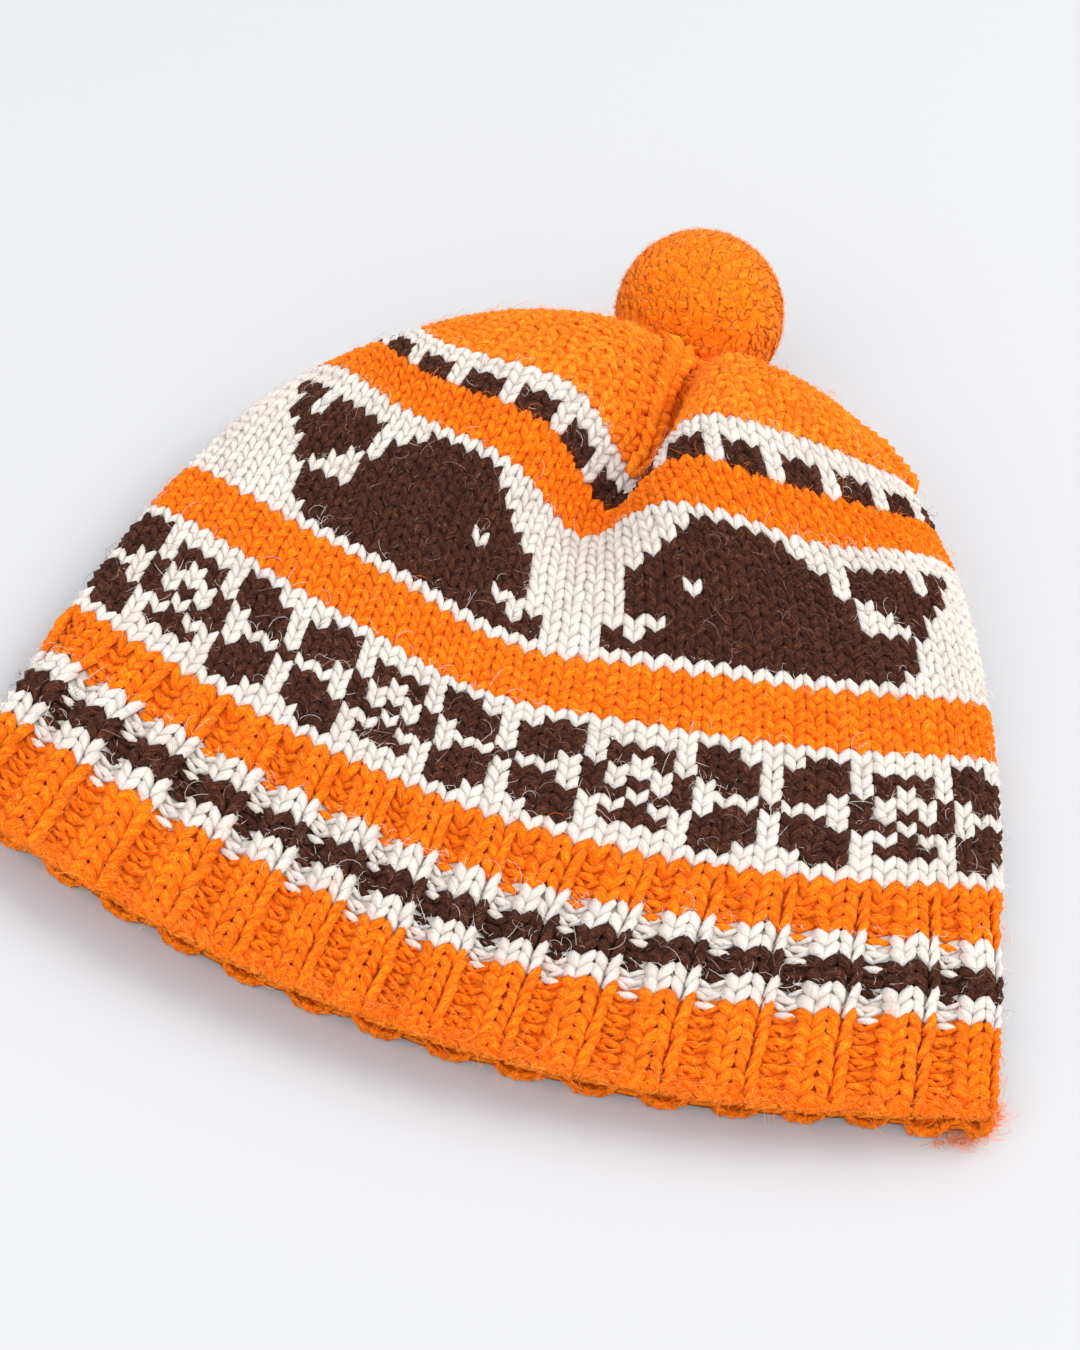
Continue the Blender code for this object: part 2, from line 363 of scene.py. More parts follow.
        normal = unit(blend(self.normals))
        point = blend(self.points) + normal * height[..., None]
        past_hem = np.minimum(row, 0.0)[..., None]
        ahead = (self.points[self.hem_steps, j] - self.points[0, j]) / (self.hem_steps * self.row_step)
        point = point + ahead * past_hem
        point[..., 2] = np.maximum(point[..., 2], FLOOR_CLEARANCE)
        return point, normal


class Wire:
    """A shader socket that adds Math nodes when it is used in arithmetic."""

    def __init__(self, graph: "Graph", socket: bpy.types.NodeSocket) -> None:
        """Holds a socket of a graph."""
        self.graph = graph
        self.socket = socket

    def __add__(self, other: "Wire | float") -> "Wire":
        """Sum."""
        return self.graph.maths("ADD", self, other)

    def __sub__(self, other: "Wire | float") -> "Wire":
        """Difference."""
        return self.graph.maths("SUBTRACT", self, other)

    def __mul__(self, other: "Wire | float") -> "Wire":
        """Product."""
        return self.graph.maths("MULTIPLY", self, other)

    def __pow__(self, other: "Wire | float") -> "Wire":
        """Power."""
        return self.graph.maths("POWER", self, other)

    def __rsub__(self, other: float) -> "Wire":
        """Difference from a number."""
        return self.graph.maths("SUBTRACT", other, self)

    __radd__ = __add__
    __rmul__ = __mul__

    def clamped(self) -> "Wire":
        """The value held between 0 and 1."""
        return self.graph.maths("ADD", self, 0.0, clamp=True)


class Graph:
    """A material's node tree, with short ways to add to it."""

    def __init__(self, material: bpy.types.Material) -> None:
        """Takes over a material's tree."""
        material.use_nodes = True
        self.tree = material.node_tree
        self.shader = self.tree.nodes["Principled BSDF"]

    def node(self, kind: str, settings: dict | None = None, inputs: dict | None = None,
             output: int | str = 0) -> Wire:
        """Adds a node.

        Args:
            kind: The node's type.
            settings: Attributes to set first.
            inputs: Values or wires by socket name or number.
            output: The output socket that is returned.

        Returns:
            The wire of that output.
        """
        made = self.tree.nodes.new(kind)
        for name, value in (settings or {}).items():
            setattr(made, name, value)
        for name, value in (inputs or {}).items():
            self.feed(made.inputs[name], value)
        return Wire(self, made.outputs[output])

    def feed(self, socket: bpy.types.NodeSocket, value: object) -> None:
        """Links a wire to a socket, or sets its value."""
        if isinstance(value, Wire):
            self.tree.links.new(value.socket, socket)
        else:
            socket.default_value = value

    def fix(self, constants: dict[str, object]) -> None:
        """Sets constants on the shader's own sockets."""
        for name, value in constants.items():
            self.shader.inputs[name].default_value = value

    def maths(self, operation: str, first: object, second: object, clamp: bool = False) -> Wire:
        """A Math node of two values."""
        settings = {"operation": operation, "use_clamp": clamp}
        return self.node("ShaderNodeMath", settings, {0: first, 1: second})

    def mix(self, factor: Wire, first: Wire | Colour, second: Wire | Colour) -> Wire:
        """A colour between two colours."""
        ends = [end if isinstance(end, Wire) else (*end, 1.0) for end in (first, second)]
        inputs = {0: factor, 6: ends[0], 7: ends[1]}
        return self.node("ShaderNodeMix", {"data_type": "RGBA"}, inputs, output=2)

    def noise(self, vector: Wire, scale: float, detail: float, **more: float) -> Wire:
        """A noise over a vector."""
        inputs = {"Vector": vector, "Scale": scale, "Detail": detail, **more}
        return self.node("ShaderNodeTexNoise", inputs=inputs)

    def tone(self) -> Wire:
        """The piece's own tone, a number for each yarn."""
        return self.node("ShaderNodeAttribute", {"attribute_name": "tone"}, output="Fac")


@dataclass(frozen=True)
class WoolFinish:
    """Spun wool: twisted plies, fibre streaks, mottled dye and a soft sheen, with painted shade where the
    relief is low and a painted highlight in the pale wisps where it is high.
    """

    name: str
    # painted shade: the colour where the relief is low, in the grooves of the plies, streaks and fibres
    groove_shade: Colour
    base: Colour
    # the pale wisps where the relief is high: pale fibres with a painted highlight
    light: Colour
    tone_spread: float = 0.16      # how much one yarn's shade differs from the next one's
    light_share: float = 0.55      # strength of the pale wisps: pale fibres, partly a painted highlight
    sheen: float = 0.35
    sheen_tint: Colour = (1.0, 0.9, 0.8)
    translucence: float = 0.12
    bump: float = 0.55             # depth of the relief, in millimetres
    plies: float = 2.0             # round the yarn
    twist: float = 1.6             # turns of a ply along a stitch's leg
    streak_grid: tuple[float, float, float] = (3.0, 15.0, 9.0)  # along, round and with the twist
    fibre_scale: float = 1300.0
    mottle_scale: float = 70.0
    mottling: float = 0.25         # how much the dye's shade varies over the piece
    in_relief: tuple[float, float, float] = (0.3, 0.7, 0.9)     # of the plies, streaks and fibres
    in_body: tuple[float, float, float] = (0.3, 2.2, 2.6)       # of the same, in the mix from the painted groove shade up to the base colour
    in_wisps: tuple[float, float] = (4.0, 5.0)                  # of the streaks and the fibres
    roughness: tuple[float, float] = (0.25, 0.72)               # what the fibres add, and the least

    def material(self) -> bpy.types.Material:
        """Makes the finish's material.

        Returns:
            The material, which reads the piece's yarn UV map and its tone attribute.
        """
        made = bpy.data.materials.new(self.name)
        graph = Graph(made)
        graph.fix({"Sheen Weight": self.sheen, "Sheen Roughness": 0.45,
                   "Sheen Tint": (*self.sheen_tint, 1.0), "Subsurface Weight": self.translucence,
                   "Subsurface Radius": (1.0, 0.5, 0.3), "Subsurface Scale": 1.5 * MM,
                   "Specular IOR Level": 0.08})
        place = graph.node("ShaderNodeTexCoord", output="Object")
        split = graph.node("ShaderNodeSeparateXYZ",
                           inputs={0: graph.node("ShaderNodeUVMap", {"uv_map": "yarn"})})
        along, around = (Wire(graph, split.socket.node.outputs[k]) for k in (0, 1))
        tone = graph.tone()
        ply = graph.maths("SINE", (around * self.plies + along * self.twist) * (2.0 * math.pi), 0.0)
        ply = ply * 0.5 + 0.5
        down, across, slant = self.streak_grid
        streak_at = graph.node("ShaderNodeCombineXYZ", inputs={
            0: along * down, 1: around * across + along * slant, 2: tone * 31.0})
        streak = graph.noise(streak_at, 1.5, 3.0)
        fibre = graph.noise(place, self.fibre_scale, 4.0, Roughness=0.7, Distortion=1.5)
        mottle = graph.noise(place, self.mottle_scale, 2.0)
        plies, streaks, fibres = self.in_relief
        relief = ply * plies + streak * streaks + fibre * fibres
        normal = graph.node("ShaderNodeBump", inputs={
            "Height": relief, "Strength": 1.0, "Distance": self.bump * MM})
        # The colour follows the relief: toward the painted groove shade where it is low, toward the pale
        # wisps (pale fibres and a painted highlight) where it is high.
        plies, streaks, fibres = self.in_body
        body = ((fibre - 0.5) * fibres + (streak - 0.5) * streaks + ply * plies + 0.5).clamped()
        streaks, fibres = self.in_wisps
        wisp_and_highlight = ((fibre - 0.5) * fibres + (streak - 0.5) * streaks).clamped() * self.light_share
        colour = graph.mix(wisp_and_highlight, graph.mix(body, self.groove_shade, self.base), self.light)
        value = (tone - 0.5) * self.tone_spread * 2.0 + (mottle - 0.5) * self.mottling + 1.0
        colour = graph.node("ShaderNodeHueSaturation", inputs={"Value": value, "Color": colour})
        graph.feed(graph.shader.inputs["Normal"], normal)
        graph.feed(graph.shader.inputs["Base Color"], colour)
        graph.feed(graph.shader.inputs["Roughness"], fibre * self.roughness[0] + self.roughness[1])
        return made


@dataclass(frozen=True)
class FibreFinish:
    """Thin loose fibres, each of its own shade."""

    name: str
    dark: Colour
    pale: Colour
    rarity: float = 2.5            # the higher, the fewer pale fibres

    def material(self) -> bpy.types.Material:
        """Makes the finish's material, which reads the piece's tone attribute."""
        made = bpy.data.materials.new(self.name)
        graph = Graph(made)
        graph.fix({"Roughness": 0.7, "Specular IOR Level": 0.1})
        colour = graph.mix(graph.tone() ** self.rarity, self.dark, self.pale)
        graph.feed(graph.shader.inputs["Base Color"], colour)
        return made


ORANGE_WOOL = WoolFinish(
    "orange_wool", (0.92, 0.065, 0.0), (1.0, 0.20, 0.0), (1.0, 0.36, 0.02),
    light_share=0.7, sheen=0.22, sheen_tint=(1.0, 0.5, 0.12), translucence=0.2)
# A brighter copy of the orange wool for the crown: painted light, standing in for the sheen of the
# crown's fuzz.
CROWN_WOOL_BRIGHTENED = replace(
    ORANGE_WOOL, name="crown_wool", groove_shade=(0.96, 0.085, 0.0), base=(1.0, 0.245, 0.005),
    light=(1.0, 0.43, 0.04), sheen=0.26, bump=0.5)
POMPOM_WOOL = WoolFinish(
    "pompom_wool", (1.0, 0.15, 0.0), (1.0, 0.22, 0.0), (1.0, 0.34, 0.02),
    tone_spread=0.03, sheen=0.3, sheen_tint=(1.0, 0.5, 0.15), translucence=0.0, bump=0.35)
WHITE_WOOL = WoolFinish(
    "white_wool", (0.62, 0.54, 0.475), (0.715, 0.65, 0.60), (0.795, 0.745, 0.70),
    tone_spread=0.05, light_share=0.3, sheen=0.1, translucence=0.3, bump=0.35)
BROWN_WOOL = WoolFinish(
    "brown_wool", (0.013, 0.004, 0.0025), (0.060, 0.017, 0.008), (0.20, 0.065, 0.033),
    tone_spread=0.25, light_share=0.7, sheen=0.06, sheen_tint=(1.0, 0.6, 0.45),
    translucence=0.0, bump=0.75)
ORANGE_FIBRE = FibreFinish("orange_fibre", (1.0, 0.16, 0.003), (1.0, 0.42, 0.09))
# A paler copy of the orange fibres: painted light, for the pompom's brightly lit side.
POMPOM_FIBRE_BRIGHTENED = FibreFinish("pompom_fibre", (1.0, 0.22, 0.006), (1.0, 0.50, 0.14))
WHITE_FIBRE = FibreFinish("white_fibre", (0.74, 0.68, 0.63), (0.86, 0.83, 0.80))
BROWN_FIBRE = FibreFinish("brown_fibre", (0.07, 0.022, 0.011), (0.52, 0.36, 0.29))
YARN_FINISHES = (ORANGE_WOOL, WHITE_WOOL, BROWN_WOOL)
CROWN_FINISHES = (CROWN_WOOL_BRIGHTENED, WHITE_WOOL, BROWN_WOOL)
FIBRE_FINISHES = (ORANGE_FIBRE, WHITE_FIBRE, BROWN_FIBRE)


class Wardrobe:
    """Makes each finish's material once."""

    def __init__(self) -> None:
        """Starts with no material made."""
        self.made: dict[str, bpy.types.Material] = {}

    def get(self, finish: "WoolFinish | FibreFinish") -> bpy.types.Material:
        """The material of a finish."""
        if finish.name not in self.made:
            self.made[finish.name] = finish.material()
        return self.made[finish.name]


@dataclass
class Shape:
    """A small closed shape as arrays: its corners, its faces and its faces' yarn coordinates."""

    corners: np.ndarray
    faces: list[tuple[int, ...]]
    yarn_uv: np.ndarray

    @property
    def triangles(self) -> int:
        """Triangles in the shape."""
        return sum(len(face) - 2 for face in self.faces)


@dataclass
class YarnGrain:
    """One short length of plump yarn, tapered at both ends, modelled once along Z from 0 to 1."""

    sides: int = 5
    profile: tuple[tuple[float, float], ...] = (
        (0.0, 0.42), (0.22, 0.92), (0.5, 1.0), (0.78, 0.94), (1.0, 0.48))

    def shape(self) -> Shape:
        """Models the grain.

        Returns:
            The grain, whose corners are (across, over, along) with a widest radius of 1.
        """
        bpy.ops.object.select_all(action="DESELECT")
        start_radius = self.profile[0][1]
        bpy.ops.mesh.primitive_circle_add(vertices=self.sides, radius=start_radius, fill_type="NGON")
        item = bpy.context.object
        bpy.ops.object.mode_set(mode="EDIT")
        bpy.ops.mesh.select_mode(type="FACE")
        bpy.ops.mesh.select_all(action="SELECT")
        for (at, radius), (next_at, next_radius) in zip(self.profile[:-1], self.profile[1:]):
            bpy.ops.mesh.extrude_region_move(TRANSFORM_OT_translate={"value": (0.0, 0.0, next_at - at)})
            scale = next_radius / radius
            bpy.ops.transform.resize(value=(scale, scale, 1.0))
        bpy.ops.mesh.select_all(action="SELECT")
        bpy.ops.mesh.normals_make_consistent(inside=False)
        bpy.ops.object.mode_set(mode="OBJECT")
        corners = np.array([tuple(vertex.co) for vertex in item.data.vertices])
        # Sorted, since extruding doesn't give the same order of faces in each run.
        faces = sorted(tuple(face.vertices) for face in item.data.polygons)
        bpy.data.objects.remove(item, do_unlink=True)
        around = (np.arctan2(corners[:, 1], corners[:, 0]) / (2 * math.pi)) % 1.0
        uvs = []
        for face in faces:
            turn = around[list(face)].copy()
            if turn.max() - turn.min() > 0.5:
                turn[turn < 0.5] += 1.0
            uvs.extend(zip(corners[list(face), 2], turn))
        return Shape(corners, faces, np.array(uvs))


class Bend(NamedTuple):
    """One point of a yarn's path within its stitch, and how thick the yarn is there."""

    across: float          # in stitch widths from the stitch's middle
    up: float              # in rows from the stitch's row
    height: float          # in millimetres over the fabric's face
    flat: float            # half width in the fabric's plane, in millimetres
    thick: float           # half thickness, in millimetres


LEG_PATH = (
    Bend(0.02, -0.62, -2.2, 0.60, 0.60),
    Bend(0.11, -0.28, -1.2, 1.08, 1.10),
    Bend(0.24, 0.12, -0.65, 1.27, 1.25),
    Bend(0.36, 0.54, -0.85, 1.20, 1.15),
    Bend(0.43, 0.98, -2.1, 0.70, 0.70),
)
RIDGE_PATH = (
    Bend(0.17, -0.74, -1.2, 0.70, 0.75),
    Bend(0.26, -0.34, -0.15, 0.96, 1.10),
    Bend(0.33, 0.12, 0.25, 1.04, 1.20),
    Bend(0.38, 0.60, 0.10, 0.98, 1.15),
    Bend(0.42, 1.15, -1.1, 0.70, 0.80),
)
PURL_STROKE_PATH = (
    Bend(-0.62, 0.36, -2.0, 0.50, 0.50),
    Bend(-0.44, 0.20, -1.30, 0.78, 0.80),
    Bend(-0.26, 0.06, -1.05, 0.85, 0.88),
    Bend(-0.08, -0.04, -1.25, 0.76, 0.75),
    Bend(0.08, -0.10, -2.0, 0.45, 0.45),
)
PURL_BUMP_PATH = (
    Bend(-0.44, -0.56, -2.0, 0.50, 0.50),
    Bend(-0.24, -0.56, -0.95, 0.86, 0.86),
    Bend(0.0, -0.60, -0.55, 0.98, 0.96),
    Bend(0.24, -0.66, -0.95, 0.86, 0.86),
    Bend(0.44, -0.74, -2.0, 0.50, 0.50),
)
CHAIN_PATH = (
    Bend(0.02, -0.80, -1.3, 0.80, 0.80),
    Bend(0.18, -0.34, 0.6, 1.70, 1.60),
    Bend(0.36, 0.22, 1.4, 2.00, 1.85),
    Bend(0.50, 0.80, 0.9, 1.75, 1.60),
    Bend(0.56, 1.40, -1.4, 0.90, 0.90),
)
EDGE_PATH = (
    Bend(-0.60, 0.16, -1.9, 0.60, 0.60),
    Bend(-0.32, 0.04, -1.25, 1.00, 1.00),
    Bend(0.0, -0.06, -1.05, 1.12, 1.10),
    Bend(0.32, -0.12, -1.25, 1.00, 1.00),
    Bend(0.60, -0.18, -1.9, 0.60, 0.60),
)
STITCH_SIZE = np.array([5.0, 3.5, 1.0])    # a mean stitch's width and row height, in millimetres


def along_path(grain: Shape, path: tuple[Bend, ...], mirrored: bool = False) -> np.ndarray:
    """A grain bent along a yarn path, in stitch coordinates.

    Args:
        grain: The straight grain.
        path: The path's points, spread evenly from the grain's start to its end.
        mirrored: Whether the path runs to the left.

    Returns:
        Across in stitch widths, up in rows and height in millimetres, for each corner.
    """
    knots = np.linspace(0.0, 1.0, len(path))

    def at(share: np.ndarray) -> np.ndarray:
        """The path's values at some shares of its length."""
        return np.stack([np.interp(share, knots, column) for column in np.array(path).T], axis=1)

    t = grain.corners[:, 2]
    values = at(t)
    step = 1e-3
    ahead, behind = at(np.minimum(t + step, 1.0)), at(np.maximum(t - step, 0.0))
    run = unit((ahead - behind)[:, :3] * STITCH_SIZE)
    side = unit(np.cross(run, np.array([0.0, 0.0, 1.0])))
    over = np.cross(side, run)
    ring_radius = np.maximum(np.linalg.norm(grain.corners[:, :2], axis=1), 1e-9)
    around = grain.corners[:, :2] / ring_radius[:, None]
    offset = side * (around[:, 0] * values[:, 3])[:, None] + over * (around[:, 1] * values[:, 4])[:, None]
    bent = values[:, :3] + offset / STITCH_SIZE
    if mirrored:
        bent[:, 0] = -bent[:, 0]
    return bent


@dataclass
class YarnField:
    """Many copies of small shapes, gathered to one joined mesh."""

    name: str
    copies: list[tuple[Shape, np.ndarray, np.ndarray, np.ndarray]] = field(default_factory=list)

    def add(self, shape: Shape, corners: np.ndarray, yarn: np.ndarray, tone: np.ndarray) -> None:
        """Adds copies of one shape.

        Args:
            shape: The shape copied.
            corners: The places of each copy's corners, in millimetres.
            yarn: Each copy's yarn number.
            tone: Each copy's tone, from 0 to 1.
        """
        self.copies.append((shape, corners, yarn, tone))

    def build(self, finishes: tuple, wardrobe: Wardrobe) -> bpy.types.Object:
        """Joins the copies to one object.

        Args:
            finishes: The finish of each yarn number.
            wardrobe: Where the materials come from.

        Returns:
            The object.
        """
        parts = {name: [] for name in ("place", "corner", "start", "total", "uv", "slot", "tone")}
        base = corner_base = 0
        for shape, corners, yarn, tone in self.copies:
            count, size = corners.shape[:2]
            copy = np.arange(count)[:, None]
            corner = np.concatenate(shape.faces)
            total = np.array([len(face) for face in shape.faces])
            start = np.cumsum(total) - total + corner_base + copy * len(corner)
            for part, values in zip(parts.values(), (
                    corners * MM, corner + base + copy * size, start, np.tile(total, count),
                    np.tile(shape.yarn_uv, (count, 1)), np.repeat(yarn, len(total)),
                    np.repeat(tone, size))):
                part.append(values.ravel())
            base += count * size
            corner_base += count * len(corner)
        place, corner, start, total, uv, slot, tone = (np.concatenate(part) for part in parts.values())
        mesh = bpy.data.meshes.new(self.name)
        mesh.vertices.add(len(place) // 3)
        mesh.loops.add(len(corner))
        mesh.polygons.add(len(start))
        for finish in finishes:
            mesh.materials.append(wardrobe.get(finish))
        for owner, attribute, values in (
                (mesh.vertices, "co", place.astype(np.float32)), (mesh.loops, "vertex_index", corner),
                (mesh.polygons, "loop_start", start), (mesh.polygons, "loop_total", total),
                (mesh.polygons, "material_index", slot)):
            owner.foreach_set(attribute, values.astype(np.int32) if values.dtype.kind == "i" else values)
        mesh.update(calc_edges=True)
        mesh.uv_layers.new(name="yarn").data.foreach_set("uv", uv.astype(np.float32))
        mesh.attributes.new("tone", "FLOAT", "POINT").data.foreach_set("value", tone.astype(np.float32))
        mesh.validate()
        mesh.shade_smooth()
        triangles = sum(len(corners) * shape.triangles for shape, corners, _, _ in self.copies)
        log.info("%s: %d triangles", self.name, triangles)
        return linked(self.name, mesh)


class Chart:
    """A knitting chart that repeats round the cap: rows of signs, the highest row first."""

    SIGNS = {"o": Yarn.ORANGE, ".": Yarn.WHITE, "#": Yarn.BROWN}

    def __init__(self, first_row: int, lines: tuple[str, ...], mirrored: bool = False) -> None:
        """Reads the chart.

        Args:
            first_row: The knitting row of the last line.
            lines: One line for each row, the highest first.
            mirrored: Whether the chart runs out from column 0 to both sides.
        """
        self.first_row = first_row
        self.mirrored = mirrored
        self.cells = np.array([[self.SIGNS[sign].value for sign in line] for line in reversed(lines)])

    def yarn(self, row: int, column: np.ndarray) -> np.ndarray:
        """Yarn numbers of some columns in a row."""
        width = self.cells.shape[1]
        if self.mirrored:
            span = 2 * width
            folded = (column + width) % span - width
            index = np.minimum(np.abs(folded), width - 1)
        else:
            index = column % width
        return self.cells[row - self.first_row, index]


BRIM_CHART = Chart(0, ("o",) * 4 + (".",) * 2 + ("#",) * 2 + (".",) * 2 + ("o",) * 7)
FLOWER_CHART = Chart(17, ("o" * 12,) * 5 + (
    "............",
    "##.....##...",
    "##.###.###.#",
    "##.#.#.###.#",
    "#.#...#.##.#",
    "..#.#.#...#.",
    "#.##.##.##.#",
    "##..#..###.#",
    "##.###.###.#",
    "##.....##...",
    "............",
))
WHALE_CHART = Chart(33, ("o" * 24,) * 4 + (
    "........................",
    ".......#####............",
    "......#######..####.##..",
    ".....#########.####.#...",
    "....##########.######...",
    "...############.####....",
    "...###.########..##.....",
    "...############...#.....",
    "...###############......",
    ".....#############......",
    "..#.##############......",
    "..###############.......",
    "........................",
), mirrored=True)
BORDER_CHART = Chart(50, ("...", "...", "##.", "##."))


class Stitches(NamedTuple):
    """Some stitches: each one's row, column, width in columns and yarn number."""

    rows: np.ndarray
    columns: np.ndarray
    widths: np.ndarray
    yarns: np.ndarray

    def chosen(self, mask: np.ndarray) -> "Stitches":
        """The stitches that a mask picks."""
        return Stitches(*(values[mask] for values in self))


@dataclass
class KnitBand:
    """A length of stocking stitch: its stitches, and the wall of fabric behind them."""

    name: str
    node: str
    slot: str
    first_row: int
    last_row: int
    chart: Chart
    surface: FabricSurface
    wardrobe: Wardrobe
    grain: Shape
    floor_grain: Shape
    seed: int
    sway: float = 0.04             # how far a stitch strays, in stitch widths and rows
    brown_swell: float = 0.04      # how much plumper the brown yarn lies than the others
    swell: float = 0.10            # how much the yarn's thickness varies
    wall_outside: float = -1.15
    wall_inside: float = -4.0
    wall_step: float = 0.5         # rows between the wall's rings
    # below the stitches' mean tone: painted shade in the gaps where the wall shows
    wall_shade_tone: float = 0.35
    closed_top: bool = False       # whether the wall closes over at its last row
    finishes: tuple[WoolFinish, ...] = YARN_FINISHES
    lowest_row: float = -0.4       # no yarn reaches further past the hem
    seen_columns: float = 27.0     # the upper layer's half width, in columns

    def row_of(self, row: int) -> Stitches:
        """The stitches of a row."""
        columns = np.arange(COLUMNS)
        return Stitches(np.full(COLUMNS, float(row)), columns.astype(float), np.ones(COLUMNS),
                        self.chart.yarn(row, columns))

    def all_stitches(self) -> Stitches:
        """The stitches of all rows."""
        made = [self.row_of(row) for row in range(self.first_row, self.last_row)]
        return Stitches(*(np.concatenate(values) for values in zip(*made)))

    def relief(self, column: np.ndarray, row: np.ndarray) -> np.ndarray:
        """Extra height of the fabric at a place; none on plain knitting."""
        return np.zeros_like(column)

    def thinning(self, row: np.ndarray) -> np.ndarray:
        """How much the wall's inner face comes out; nothing but at the hem."""
        return np.zeros_like(row)

    def draw_back(self, column: np.ndarray, row: np.ndarray) -> np.ndarray:
        """Rows that the fabric draws back from the hem at a place; none on plain knitting."""
        return np.zeros_like(column)

    def lay(self, fabric: YarnField, path: tuple[Bend, ...], mirrored: bool, stitches: Stitches,
            rng: np.random.Generator) -> None:
        """Lays a yarn path on many stitches, with a plainer grain where the floor hides them.

        Args:
            fabric: The field that gathers them.
            path: The path within a stitch.
            mirrored: Whether the path runs to the left.
            stitches: The stitches.
            rng: Where the strays come from.
        """
        above = np.abs(centred(stitches.columns)) < self.seen_columns
        for grain, mask in ((self.grain, above), (self.floor_grain, ~above)):
            if not mask.any():
                continue
            rows, columns, widths, yarns = stitches.chosen(mask)
            bent = along_path(grain, path, mirrored)
            count = len(rows)
            stray = rng.normal(0.0, self.sway, (count, 2))
            swell = 1.0 + rng.uniform(-self.swell, self.swell, count)
            swell = swell + self.brown_swell * (yarns == Yarn.BROWN.value)
            swell = np.stack([swell, np.ones(count), swell], axis=1)
            middle = bent.mean(axis=0)
            shape = middle + (bent[None] - middle) * swell[:, None]
            column = columns[:, None] + (shape[..., 0] + stray[:, :1]) * widths[:, None]
            row = np.maximum(rows[:, None] + shape[..., 1] + stray[:, 1:], self.lowest_row)
            row = row + self.draw_back(column, row)
            corners, _ = self.surface.place(column, row, shape[..., 2] + self.relief(column, row))
            fabric.add(grain, corners, yarns, rng.uniform(0.0, 1.0, count))

    def lay_stitches(self, fabric: YarnField, rng: np.random.Generator) -> None:
        """Lays both legs of every stitch."""
        for mirrored in (False, True):
            self.lay(fabric, LEG_PATH, mirrored, self.all_stitches(), rng)

    def stitches(self) -> bpy.types.Object:
        """Builds the band's stitches."""
        fabric = YarnField(f"{self.name}_stitches")
        self.lay_stitches(fabric, np.random.default_rng(self.seed))
        return fabric.build(self.finishes, self.wardrobe)

    def skin_height(self, outer: bool, column: np.ndarray, row: np.ndarray) -> np.ndarray:
        """Heights of the wall's outer or inner skin."""
        if outer:
            return self.wall_outside + self.relief(column, row)
        return self.wall_inside + self.thinning(row)

    def wall(self) -> bpy.types.Object:
        """Builds the wall behind the stitches, with the fabric's inner face."""
        rows = np.arange(self.first_row, self.last_row + 0.01, self.wall_step)
        column, row = np.meshgrid(np.arange(COLUMNS, dtype=float), rows)
        shifted = row + self.draw_back(column, row)
        skins = [self.surface.place(column, shifted, self.skin_height(outer, column, row))[0]
                 for outer in (True, False)]
        return self.wall_object(skins, rows)

    def wall_object(self, skins: list[np.ndarray], rows: np.ndarray) -> bpy.types.Object:
        """Joins two skins of points to one closed wall.

        Args:
            skins: The outer and the inner skin.
            rows: The knitting row of each ring of points.

        Returns:
            The object.
        """
        builder = bmesh.new()
        tone = builder.verts.layers.float.new("tone")
        uv_layer = builder.loops.layers.uv.new("yarn")
        ends = []
        for skin in skins:
            rings = [[builder.verts.new(Vector(point) * MM) for point in ring] for ring in skin]
            for lower, upper, row in zip(rings[:-1], rings[1:], rows):
                yarn = self.chart_yarn_at(row)
                for k, corner in enumerate(lower):
                    face = builder.faces.new((lower[k - 1], corner, upper[k], upper[k - 1]))
                    face.material_index = int(yarn[k])
                    for loop, uv in zip(face.loops, ((k - 1, 0), (k, 0), (k, 1), (k - 1, 1))):
                        loop[uv_layer].uv = (uv[0] * 0.5, uv[1] * 0.5 + row)
            if self.closed_top:
                builder.faces.new(rings[-1])
            ends.append((rings[0], rings[-1]))
        for end in range(1 if self.closed_top else 2):
            outer, inner = ends[0][end], ends[1][end]
            for k, corner in enumerate(outer):
                builder.faces.new((outer[k - 1], corner, inner[k], inner[k - 1]))
        # The wall takes a darker tone than the stitches: painted shade in the gaps between them.
        for vertex in builder.verts:
            vertex[tone] = self.wall_shade_tone
        bmesh.ops.recalc_face_normals(builder, faces=builder.faces)
        mesh = bpy.data.meshes.new(f"{self.name}_wall")
        builder.to_mesh(mesh)
        builder.free()
        for finish in self.finishes:
            mesh.materials.append(self.wardrobe.get(finish))
        mesh.shade_smooth()
        return linked(mesh.name, mesh)

    def chart_yarn_at(self, row: float) -> np.ndarray:
        """Yarn of the wall's faces at a row, one for each column."""
        whole = min(int(row), self.last_row - 1)
        return self.chart.yarn(whole, np.arange(COLUMNS))

    def build(self) -> list[bpy.types.Object]:
        """Builds the band, which stands for its CAD node.

        Returns:
            The band's pieces.
        """
        pieces = [self.stitches(), self.wall()]
        for piece in pieces:
            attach(piece, "root")
            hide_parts(self.node)
        return pieces


